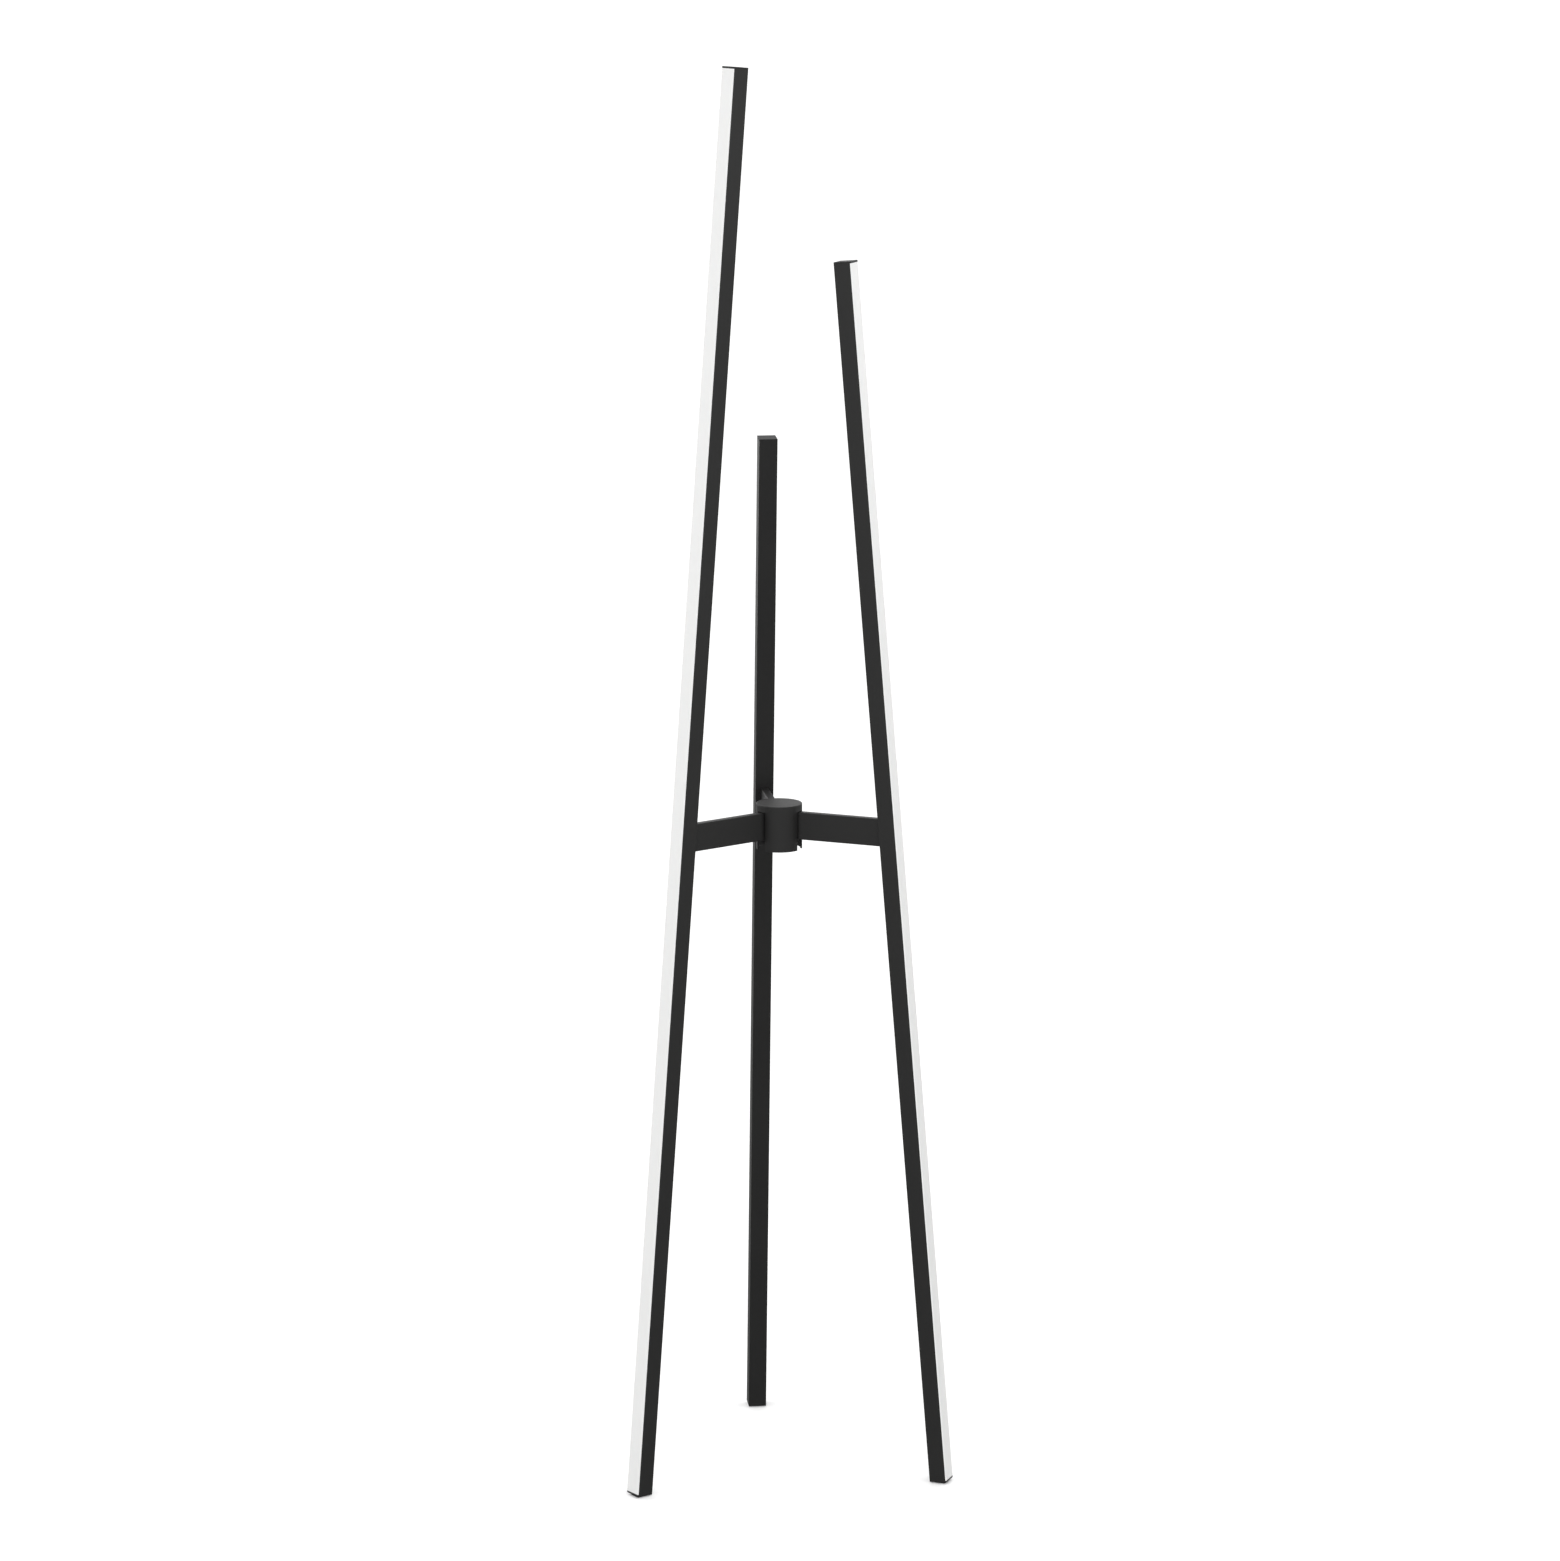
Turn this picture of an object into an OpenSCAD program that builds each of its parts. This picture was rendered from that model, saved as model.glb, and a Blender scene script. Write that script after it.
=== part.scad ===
// Three-legged LED floor lamp. Each leg is a black channel with an opal diffuser on its
// outward face. Three level arms tie the legs to a hub, and a slotted cup covers the hub.
// Z is up. The origin is on the floor, at the middle of the lamp's outline seen from above.

/* [Legs] */
// Length of the long leg, with both caps
leg_long = 1540; // [1400:1:1900]
// Length of the middle leg, with both caps
leg_middle = 1336; // [1200:1:1650]
// Length of the short leg, with both caps
leg_short = 1132; // [940:1:1400]
// Width of a leg
leg_w = 20; // [19:0.1:25]
// Depth of the channel, without the diffuser
channel_d = 18.6; // [18:0.1:24]
// Lean of a leg towards the hub, in degrees
lean = 5; // [3:0.1:8]
// Distance from the hub's axis to the middle of a leg, at the arms
leg_r = 129; // [100:0.5:170]

/* [Channel] */
// Thickness of the two side walls
side_wall = 1.5; // [1.2:0.1:2]
// Thickness of the back wall, which the arm is screwed to
back_wall = 2.5; // [2.2:0.1:3.2]

/* [Diffuser] */
// How far the diffuser stands proud of the channel
diffuser_t = 1.2; // [1:0.1:2]
// Thickness of the two clip ribs
clip_t = 1.1; // [0.9:0.1:1.4]
// Depth of the clip ribs inside the channel
clip_d = 4; // [3:0.1:5]
// Height of the bead that snaps into the channel's groove
bead_h = 0.4; // [0.3:0.05:0.5]

/* [LED strip] */
// Width of the LED strip
strip_w = 10; // [9:0.5:12]
// Thickness of the LED strip
strip_t = 1.2; // [0.8:0.1:1.6]
// Distance between LEDs
led_pitch = 25; // [20:0.5:34]
// Size of one LED along the strip
led_l = 3.5; // [2.8:0.1:5]
// Size of one LED across the strip
led_w = 2.8; // [2:0.1:5]
// Height of one LED
led_h = 0.8; // [0.6:0.1:1.2]

/* [End caps] */
// Thickness of the cap plates
cap_t = 2; // [1.5:0.1:3]
// Depth of the plug inside the channel
plug_h = 8; // [6:0.5:12]
// Gap round the plug
plug_gap = 0.1; // [0.05:0.05:0.2]

/* [Feet] */
// Distance from the base cap's edges to the foot pad
pad_inset = 3; // [2:0.1:4]
// Height of the base cap's lowest edge above the floor
foot_gap = 1; // [0.6:0.1:3]

/* [Arms] */
// Height of the arms' centre line above the floor
arm_z = 721.5; // [600:0.5:880]
// Height of an arm's section
arm_h = 30; // [26:0.5:36]
// Thickness of an arm's section
arm_t = 8; // [7:0.1:10]
// Wall of the arm tube
arm_wall = 1.2; // [1:0.1:1.5]
// Length of the threaded block in an arm's outer end
insert_l = 12; // [10:0.5:20]
// Reach of the core's tongues inside an arm
tongue_l = 20; // [14:0.5:24]

/* [Hub cover] */
// Outer diameter of the hub cover
cover_d = 50; // [48:0.5:60]
// Height of the hub cover
cover_h = 50; // [42:0.5:60]
// Wall of the hub cover
cover_wall = 2; // [1.5:0.1:2.5]
// How far the cover's top stands above the arms
cover_rise = 8; // [7:0.5:14]
// Gap between an arm and each side of its slot
slot_side_gap = 2.5; // [1:0.1:3]
// Gap between an arm's top and the end of its slot
slot_top_gap = 0.5; // [0.3:0.1:1]
// Depth of the ring under the cover's top that centres it in the core
ring_h = 3; // [2:0.1:4]
// Gap between that ring and the core
ring_gap = 0.3; // [0.2:0.05:0.5]

/* [Hub core] */
// Outer diameter of the core
core_d = 30; // [28:0.5:36]
// Wall of the core round its upper chamber, which holds the junction board
core_wall = 3; // [2.5:0.1:4]
// Width of the ledge that the board lies on
ledge_w = 4; // [3.8:0.1:5]
// Thickness of the core's floor
floor_t = 3; // [2.5:0.1:4]
// Height of the board's ledge above the arms' centre line
ledge_z = 6; // [5:0.5:8]
// Gap between the two tongues of an arm, for its lead
tongue_gap = 9.6; // [5:0.1:12]

/* [Junction board] */
// Thickness of the junction board
board_t = 1.6; // [1:0.1:2]
// Diameter of the board's middle hole
board_hole_d = 6; // [4:0.5:8]
// Gap round the board
board_gap = 0.2; // [0.1:0.05:0.4]

/* [Cord gland] */
// Diameter of the gland's bore, for the supply cord
gland_bore_d = 5.2; // [4:0.1:6]
// Wall of the gland's waist, in the core's floor
gland_wall = 1.4; // [1:0.1:1.7]
// How far each flange reaches past the waist
gland_lip = 1.5; // [1:0.1:1.8]
// Thickness of each flange
gland_flange_t = 1.5; // [1:0.1:2]

/* [Wires and screws] */
// Diameter of a two-core lead
lead_d = 2.4; // [2:0.1:2.8]
// Gap between a lead and the holes it passes
lead_gap = 0.5; // [0.3:0.05:0.7]
// Thread diameter of the screws that hold the legs
leg_screw_d = 4; // [3:0.1:4.8]
// Length of those screws
leg_screw_l = 12; // [10:0.5:14]
// Distance from an arm's edges to the screws that hold its leg
leg_screw_inset = 6; // [5:0.1:7.5]
// Thread diameter of the grub screws
grub_d = 3; // [2.5:0.1:4]
// Length of the grub screws
grub_l = 6; // [4:0.5:8]
// Distance from the core's wall to the grub screws
grub_inset = 4.5; // [3.5:0.1:6]
// Thread diameter of the board's screws
board_screw_d = 2; // [1.6:0.1:2.2]
// Length of the board's screws
board_screw_l = 5; // [4:0.5:7]

/* [Hidden] */

$fn = 64;
EPS = 0.01;                 // overshoot of a cutting tool
CUT = 1;                    // longer overshoot, where a tool is tilted
FAR = 100;                  // half-size of a block that trims to a plane
SCREW_PLAY = 0.03;          // running clearance of a screw in its thread

// The three legs stand a third of a turn apart
AZ_LONG = 210;
AZ_MIDDLE = 330;
AZ_SHORT = 90;
ALL_AZ = [AZ_LONG, AZ_MIDDLE, AZ_SHORT];

// Sections of a leg, measured outwards from the middle of its depth
leg_d = channel_d + diffuser_t;
back = -leg_d / 2;                      // face that the arm meets
bed = back + back_wall;                 // face that the LED strip lies on
front = back + channel_d;               // face that the diffuser lies on
bay_w = leg_w - 2 * side_wall;          // width inside the channel
clip_gap = 0.05;                        // play of a clip rib beside a side wall
clip_end = front - clip_d;              // inner edge of the clip ribs

// Places along a leg, measured from the arms' centre line
pad_l = leg_d - 2 * pad_inset;
pad_w = leg_w - 2 * pad_inset;
leg_below = (arm_z - foot_gap - leg_d / 2 * sin(lean)) / cos(lean);
strip_end = cap_t + plug_h + 2;         // distance kept free at each end of the LED strip

// The leg's outermost reach sets where the hub stands behind the origin
reach = leg_r + leg_below * sin(lean) + leg_d / 2 * cos(lean);
hub_y = -(reach * (1 - sin(30)) - leg_w / 2 * cos(30)) / 2;

// Heights in the hub, measured from the arms' centre line
cover_top = arm_h / 2 + cover_rise;
roof = cover_top - cover_wall;
core_base = -arm_h / 2;
well_floor = core_base + floor_t;
core_r = core_d / 2;
chamber_d = core_d - 2 * core_wall;
well_d = chamber_d - 2 * ledge_w;
slot_w = arm_t + 2 * slot_side_gap;
grub_r = core_r + grub_inset;
arm_start = core_r + 0.5;               // where an arm's tube begins
arm_in_h = arm_h - 2 * arm_wall;
arm_in_t = arm_t - 2 * arm_wall;
tongue_h = (arm_in_h - tongue_gap) / 2;
lead_hole_d = lead_d + 2 * lead_gap;
lead_bend_r = 3;                        // bend of a lead under the board
lead_rise_r = well_d / 2 - lead_d;      // distance of a lead's upright end from the axis
board_screw_r = (chamber_d + well_d) / 4;
ring_r = chamber_d / 2 - ring_gap;
gland_waist_d = gland_bore_d + 2 * gland_wall;
gland_flange_d = gland_waist_d + 2 * gland_lip;
leg_screw_pitch = arm_h - 2 * leg_screw_inset;

screw_head_d = 2 * leg_screw_d - 0.4;
screw_head_h = (screw_head_d - leg_screw_d) / 2;

// Frame of the hub: on its axis, at the arms' centre line
module at_hub() {
    translate([0, hub_y, arm_z]) children();
}

// Frame of an arm: X runs outwards along it
module at_arm(az) {
    at_hub() rotate([0, 0, az]) children();
}

// Frame of a leg: Z runs up it, X points out through the diffuser
module at_leg(az) {
    at_arm(az) leg_tilt() children();
}

module leg_tilt() {
    translate([leg_r, 0, 0]) rotate([0, -lean, 0]) children();
}

// Frame of a leg's lower end, turned as the leg is
module at_leg_base(az) {
    at_leg(az) translate([0, 0, -leg_below]) children();
}

// A block given by its lower corner and size, centred across Y
module slab(x, z, size) {
    translate([x, -size[1] / 2, z]) cube(size);
}

// A closed section, from the outline of its half on the +Y side
function both_sides(half) = concat(half, [for (i = [len(half) - 1:-1:0]) [half[i][0], -half[i][1]]]);

// The snap bead's outline on a wall at y, from its front end to its back end
function bead(y) = [
    for (step = [[2, 0], [1, 1], [-1, 1], [-2, 0]])
        [front - clip_d / 2 + step[0] * bead_h, y + step[1] * bead_h]
];

// A U with a groove for the diffuser's bead in each side wall
module channel_2d() {
    polygon(both_sides(concat(
        [[back, leg_w / 2], [front, leg_w / 2], [front, bay_w / 2]],
        bead(bay_w / 2),
        [[bed, bay_w / 2]]
    )));
}

// A flat face with a beaded clip rib on each side
module diffuser_2d() {
    rib = bay_w / 2 - clip_gap;
    polygon(both_sides(concat(
        [[back + leg_d, leg_w / 2], [front, leg_w / 2], [front, rib]],
        bead(rib),
        [[clip_end, rib], [clip_end, rib - clip_t], [front, rib - clip_t]]
    )));
}

// A section drawn out between the two cap plates
module between_caps(length) {
    translate([0, 0, cap_t]) linear_extrude(length - 2 * cap_t) children();
}

// The two screws of a leg, on the leg's own axes, pointing inwards to the hub
module at_leg_screws(az) {
    at_leg(az)
        for (side = [-1, 1])
            translate([bed, 0, side * leg_screw_pitch / 2]) rotate([0, -90, 0]) children();
}

// Tapered hole for a countersunk head, open at the bed
module head_cone(extra) {
    cylinder(h = screw_head_h, d1 = screw_head_d + extra, d2 = leg_screw_d + extra);
}

// The way of a lead through an arm's end, the channel and the strip, in the arm's frame
module lead_hole(diameter) {
    translate([leg_r - insert_l - leg_d, 0, 0])
        rotate([0, 90, 0]) cylinder(h = insert_l + leg_d, d = diameter);
}

module channel(az, length) {
    color([0.10, 0.10, 0.11])
        difference() {
            at_leg_base(az) between_caps(length) channel_2d();
            at_arm(az) lead_hole(lead_hole_d);
            at_leg_screws(az) translate([0, 0, -EPS])
                cylinder(h = back_wall + CUT, d = leg_screw_d + 2 * SCREW_PLAY);
            at_leg_screws(az) head_cone(0);
            at_leg_screws(az) translate([0, 0, -CUT]) cylinder(h = CUT + EPS, d = screw_head_d);
        }
}

module diffuser(az, length) {
    color([0.95, 0.95, 0.93])
        at_leg_base(az) between_caps(length) diffuser_2d();
}

module led_strip(az, length) {
    color([0.93, 0.93, 0.90])
        difference() {
            at_leg_base(az) slab(bed, strip_end, [strip_t, strip_w, length - 2 * strip_end]);
            at_arm(az) lead_hole(lead_d + 2 * SCREW_PLAY);
        }
}

// The LEDs are spaced from the arm outwards, so that none meets the lead
module leds(az, length) {
    lowest = ceil((strip_end - leg_below) / led_pitch);
    highest = floor((length - leg_below - strip_end) / led_pitch) - 1;
    color([0.98, 0.90, 0.55])
        at_leg(az)
            for (i = [lowest:highest])
                slab(bed + strip_t, (i + 0.5) * led_pitch - led_l / 2, [led_h, led_w, led_l]);
}

// An end cap standing on its plate, with its plug towards +Z
module end_cap() {
    slab(back, 0, [leg_d, leg_w, cap_t]);
    slab(bed + plug_gap, 0, [clip_end - bed - 2 * plug_gap, bay_w - 2 * plug_gap, cap_t + plug_h]);
}

module top_cap(az, length) {
    color([0.12, 0.12, 0.13])
        at_leg_base(az) translate([0, 0, length]) mirror([0, 0, 1]) end_cap();
}

module base_cap(az) {
    color([0.12, 0.12, 0.13])
        at_leg_base(az) end_cap();
}

// A rubber wedge between the tilted cap and the level floor
module foot_pad(az) {
    drop = foot_gap + leg_d * sin(lean) + CUT;
    color([0.16, 0.16, 0.16])
        intersection() {
            at_leg_base(az) slab(-pad_l / 2, -drop, [pad_l, pad_w, drop]);
            translate([-reach - leg_w, hub_y - reach - leg_w, 0])
                cube([2 * (reach + leg_w), 2 * (reach + leg_w), arm_z]);
        }
}

// Everything outside the face that an arm meets, in the arm's frame
module beyond_leg() {
    leg_tilt() translate([back, -FAR, -FAR]) cube(2 * FAR);
}

// Hole up into an arm from below, for its grub screw
module grub_hole(diameter) {
    translate([grub_r, 0, core_base - CUT]) cylinder(h = CUT + grub_l, d = diameter);
}

module arm(az) {
    color([0.11, 0.11, 0.12])
        at_arm(az)
            difference() {
                slab(arm_start, -arm_h / 2, [leg_r - arm_start + CUT, arm_t, arm_h]);
                slab(arm_start - CUT, -arm_in_h / 2, [leg_r, arm_in_t, arm_in_h]);
                grub_hole(grub_d + 2 * SCREW_PLAY);
                beyond_leg();
            }
}

module arm_insert(az) {
    start = leg_r + back - insert_l;
    color([0.62, 0.63, 0.65])
        difference() {
            at_arm(az)
                difference() {
                    slab(start, -arm_in_h / 2, [insert_l + leg_d / 2, arm_in_t, arm_in_h]);
                    lead_hole(lead_hole_d);
                    beyond_leg();
                }
            at_leg_screws(az) cylinder(h = leg_screw_l + CUT, d = leg_screw_d + 2 * SCREW_PLAY);
        }
}

// A lead rises out of the junction board, bends, and runs straight to the LED strip
module lead(az) {
    tip = leg_r + bed + strip_t + 1;
    bend_x = lead_rise_r + lead_bend_r;
    color([0.25, 0.25, 0.26])
        at_arm(az) {
            translate([lead_rise_r, 0, lead_bend_r])
                cylinder(h = ledge_z - lead_bend_r, d = lead_d);
            translate([bend_x, 0, lead_bend_r]) rotate([90, 0, 0]) rotate([0, 0, 180])
                rotate_extrude(angle = 90) translate([lead_bend_r, 0]) circle(d = lead_d);
            translate([bend_x, 0, 0]) rotate([0, 90, 0]) cylinder(h = tip - bend_x, d = lead_d);
        }
}

// Countersunk screws, each with a hexagon socket
module leg_screws() {
    socket = 2.5;
    color([0.55, 0.56, 0.58])
        for (az = ALL_AZ)
            at_leg_screws(az)
                difference() {
                    union() {
                        head_cone(0);
                        cylinder(h = leg_screw_l, d = leg_screw_d);
                    }
                    translate([0, 0, -EPS]) cylinder(h = screw_head_h / 2, d = socket, $fn = 6);
                }
}

module grub_screws() {
    socket = 1.5;
    color([0.35, 0.36, 0.38])
        for (az = ALL_AZ)
            at_arm(az) translate([grub_r, 0, core_base])
                difference() {
                    cylinder(h = grub_l, d = grub_d);
                    translate([0, 0, -EPS]) cylinder(h = grub_l / 3, d = socket, $fn = 6);
                }
}

// One arm's pair of tongues, with the lead's way between them
module tongues() {
    for (side = [0, 1])
        mirror([0, 0, side])
            slab(core_r - CUT, arm_in_h / 2 - tongue_h, [tongue_l + CUT, arm_in_t, tongue_h]);
}

module hub_core() {
    color([0.45, 0.46, 0.48])
        at_hub()
            difference() {
                union() {
                    translate([0, 0, core_base]) cylinder(h = roof - core_base, r = core_r);
                    for (az = ALL_AZ) rotate([0, 0, az]) tongues();
                }
                translate([0, 0, ledge_z]) cylinder(h = roof, d = chamber_d);
                translate([0, 0, well_floor]) cylinder(h = roof - well_floor, d = well_d);
                translate([0, 0, core_base - CUT]) cylinder(h = floor_t + 2 * CUT, d = gland_waist_d);
                for (az = ALL_AZ) rotate([0, 0, az]) {
                    rotate([0, 90, 0]) cylinder(h = core_r + CUT, d = lead_hole_d);
                    grub_hole(grub_d + 2 * SCREW_PLAY);
                }
                at_board_screws() translate([0, 0, board_t - board_screw_l - EPS])
                    cylinder(h = board_screw_l, d = board_screw_d + 2 * SCREW_PLAY);
            }
}

// Slotted cup that drops over the core and the arms from above
module hub_cover() {
    lip = 0.6;
    r_out = cover_d / 2;
    r_in = r_out - cover_wall;
    base = cover_top - cover_h;
    color([0.13, 0.13, 0.14])
        at_hub()
            difference() {
                rotate_extrude() polygon([
                    [0, roof], [ring_r - cover_wall, roof], [ring_r - cover_wall, roof - ring_h],
                    [ring_r, roof - ring_h], [ring_r, roof], [r_in, roof], [r_in, base],
                    [r_out, base], [r_out, cover_top - lip], [r_out - lip, cover_top], [0, cover_top]
                ]);
                for (az = ALL_AZ)
                    rotate([0, 0, az])
                        slab(r_in - slot_w, base - CUT,
                             [2 * slot_w, slot_w, arm_h / 2 + slot_top_gap - base + CUT]);
            }
}

// Places of the board's screws, on top of the board and between the leads
module at_board_screws() {
    for (az = ALL_AZ)
        rotate([0, 0, az + 60]) translate([board_screw_r, 0, ledge_z]) children();
}

module junction_board() {
    color([0.10, 0.35, 0.18])
        at_hub()
            difference() {
                translate([0, 0, ledge_z]) cylinder(h = board_t, r = chamber_d / 2 - board_gap);
                translate([0, 0, ledge_z - CUT]) cylinder(h = board_t + 2 * CUT, d = board_hole_d);
                at_board_screws() translate([0, 0, -CUT])
                    cylinder(h = board_t + 2 * CUT, d = board_screw_d + 2 * SCREW_PLAY);
            }
}

module board_screws() {
    head_h = 1.2;
    color([0.7, 0.7, 0.72])
        at_hub() at_board_screws() {
            translate([0, 0, board_t]) cylinder(h = head_h, d = 1.8 * board_screw_d);
            translate([0, 0, board_t - board_screw_l + SCREW_PLAY])
                cylinder(h = board_screw_l, d = board_screw_d);
        }
}

// Rubber gland with a flange on each side of the core's floor
module cord_gland() {
    bore_r = gland_bore_d / 2;
    flange_r = gland_flange_d / 2;
    waist_r = gland_waist_d / 2;
    base = core_base - gland_flange_t;
    top = well_floor + gland_flange_t;
    color([0.15, 0.15, 0.15])
        at_hub()
            rotate_extrude() polygon([
                [bore_r, base], [flange_r, base], [flange_r, core_base], [waist_r, core_base],
                [waist_r, well_floor], [flange_r, well_floor], [flange_r, top], [bore_r, top]
            ]);
}

channel(AZ_LONG, leg_long);  // channel_long
channel(AZ_MIDDLE, leg_middle);  // channel_middle
channel(AZ_SHORT, leg_short);  // channel_short
diffuser(AZ_LONG, leg_long);  // diffuser_long
diffuser(AZ_MIDDLE, leg_middle);  // diffuser_middle
diffuser(AZ_SHORT, leg_short);  // diffuser_short
led_strip(AZ_LONG, leg_long);  // led_strip_long
led_strip(AZ_MIDDLE, leg_middle);  // led_strip_middle
led_strip(AZ_SHORT, leg_short);  // led_strip_short
leds(AZ_LONG, leg_long);  // leds_long
leds(AZ_MIDDLE, leg_middle);  // leds_middle
leds(AZ_SHORT, leg_short);  // leds_short
top_cap(AZ_LONG, leg_long);  // top_cap_long
top_cap(AZ_MIDDLE, leg_middle);  // top_cap_middle
top_cap(AZ_SHORT, leg_short);  // top_cap_short
base_cap(AZ_LONG);  // base_cap_long
base_cap(AZ_MIDDLE);  // base_cap_middle
base_cap(AZ_SHORT);  // base_cap_short
foot_pad(AZ_LONG);  // foot_pad_long
foot_pad(AZ_MIDDLE);  // foot_pad_middle
foot_pad(AZ_SHORT);  // foot_pad_short
arm(AZ_LONG);  // arm_long
arm(AZ_MIDDLE);  // arm_middle
arm(AZ_SHORT);  // arm_short
arm_insert(AZ_LONG);  // arm_insert_long
arm_insert(AZ_MIDDLE);  // arm_insert_middle
arm_insert(AZ_SHORT);  // arm_insert_short
lead(AZ_LONG);  // lead_long
lead(AZ_MIDDLE);  // lead_middle
lead(AZ_SHORT);  // lead_short
leg_screws();
grub_screws();
hub_core();
hub_cover();
junction_board();
board_screws();
cord_gland();
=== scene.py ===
from math import cos, pi, radians, sin, tan

import bpy
import numpy as np
from mathutils import Euler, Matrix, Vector


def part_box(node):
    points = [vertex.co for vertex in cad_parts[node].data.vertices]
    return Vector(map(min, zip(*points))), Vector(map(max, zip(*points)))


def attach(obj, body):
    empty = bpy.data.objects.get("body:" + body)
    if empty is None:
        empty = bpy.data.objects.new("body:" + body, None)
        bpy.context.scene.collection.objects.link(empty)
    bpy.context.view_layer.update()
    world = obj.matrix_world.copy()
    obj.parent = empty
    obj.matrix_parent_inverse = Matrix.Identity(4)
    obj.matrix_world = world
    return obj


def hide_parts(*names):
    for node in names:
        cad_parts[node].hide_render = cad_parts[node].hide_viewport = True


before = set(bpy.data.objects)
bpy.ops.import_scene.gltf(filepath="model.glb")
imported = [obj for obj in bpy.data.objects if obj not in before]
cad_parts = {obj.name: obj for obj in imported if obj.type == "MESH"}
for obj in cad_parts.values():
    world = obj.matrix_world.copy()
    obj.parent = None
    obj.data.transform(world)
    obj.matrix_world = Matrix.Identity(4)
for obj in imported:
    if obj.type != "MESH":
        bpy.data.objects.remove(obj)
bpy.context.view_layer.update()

# A three-legged LED floor lamp. Each leg is a black channel with an opal diffuser on its
# outward face. Lengths are in metres, and MM turns millimetres into them.

MM = 0.001

# Camera: how far round the hub it stands, to the left of straight in front, and what it sees
CAMERA_TURN = 7.793
CAMERA_DISTANCE = 5.4206    # from the hub's axis, along the floor
CAMERA_HEIGHT = 1.8831
CAMERA_PITCH = 11.615       # down from level
CAMERA_LENS = 118.2
CAMERA_SHIFT = 0.0006       # sideways, as a share of the frame's width

# Sizes of the design that the frame's boxes don't give
LEAN = radians(5)
LEG_RADIUS = 129 * MM       # from the hub's axis to the middle of a leg, at the arms
DIFFUSER_PROUD = 1.2 * MM
SIDE_WALL = 1.5 * MM
BACK_WALL = 2.5 * MM
RIB = 1.1 * MM              # thickness of the diffuser's clip ribs
RIB_DEPTH = 4 * MM
RIB_PLAY = 0.05 * MM
BEAD = 0.4 * MM             # height of the bead on a rib, and of its groove
CAP_PLATE = 2 * MM
PLUG_DEPTH = 8 * MM
PLUG_PLAY = 0.1 * MM
PAD_INSET = 3 * MM
ARM_WALL = 1.2 * MM
ARM_START = 15.5 * MM       # from the hub's axis
COVER_WALL = 2 * MM
SLOT_WIDTH = 13 * MM
SLOT_ABOVE_ARM = 0.5 * MM
RING_RADIUS = 11.7 * MM     # the ring under the cover's roof, which centres it in the core
RING_DEPTH = 3 * MM
CORE_FLOOR = 3 * MM
GLAND_BORE = 2.6 * MM       # radii of the cord gland, and its flange's thickness
GLAND_WAIST = 4 * MM
GLAND_REACH = 5.5 * MM
GLAND_FLANGE = 1.5 * MM

# Holes: radii, and where they lie
LEAD_HOLE = 1.7 * MM
LEG_SCREW = 2.03 * MM
LEG_SCREW_HEAD = 3.8 * MM
LEG_SCREW_OFFSET = 9 * MM   # along the leg, each way from the arm's middle
GRUB_SCREW = 1.53 * MM
GRUB_RADIUS = 19.5 * MM     # from the hub's axis

# Softened edges
EXTRUSION_EDGE = 0.5 * MM
CAP_EDGE = 0.35 * MM
ARM_EDGE = 0.7 * MM
COVER_EDGE = 0.8 * MM
PAD_CORNER = 2 * MM
SLOT_EDGE = 0.3 * MM
FINE_EDGE = 0.2 * MM
TINY_EDGE = 0.1 * MM
EDGE_STEPS = 5              # facets in the round of an edge
CORNER_POINTS = EDGE_STEPS + 3
SHARP = radians(35)         # edges that turn further than this are shaded as creases

# Sizes of the studio
FLOOR_RADIUS = 60
SOFTBOX = 1.6               # side of the light in front, and its power in watts
SOFTBOX_POWER = 28


# Places taken from the frame

def box(node):
    """Lowest and highest corner of a CAD node, as arrays."""
    low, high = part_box(node)
    return np.array(low), np.array(high)


def middle(node):
    """The middle of a node's box."""
    low, high = box(node)
    return (low + high) / 2


def size(node):
    """The size of a node's box along x, y and z."""
    low, high = box(node)
    return high - low


HUB = middle("hub_cover")[:2]
ARM_THICK, _, ARM_HIGH = size("arm_short")
ARM_LEVEL = middle("arm_short")[2]
LEG_WIDE = size("channel_short")[0]
LEG_DEEP = (size("top_cap_short")[1] - CAP_PLATE * sin(LEAN)) / cos(LEAN)
COVER_RADIUS = size("hub_cover")[0] / 2
COVER_BASE, COVER_TOP = (corner[2] - ARM_LEVEL for corner in box("hub_cover"))

# Planes across a leg's depth, measured outwards from its middle
BACK = -LEG_DEEP / 2
FACE = LEG_DEEP / 2
FRONT = FACE - DIFFUSER_PROUD
BED = BACK + BACK_WALL
RIB_END = FRONT - RIB_DEPTH
BAY_HALF = LEG_WIDE / 2 - SIDE_WALL


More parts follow.
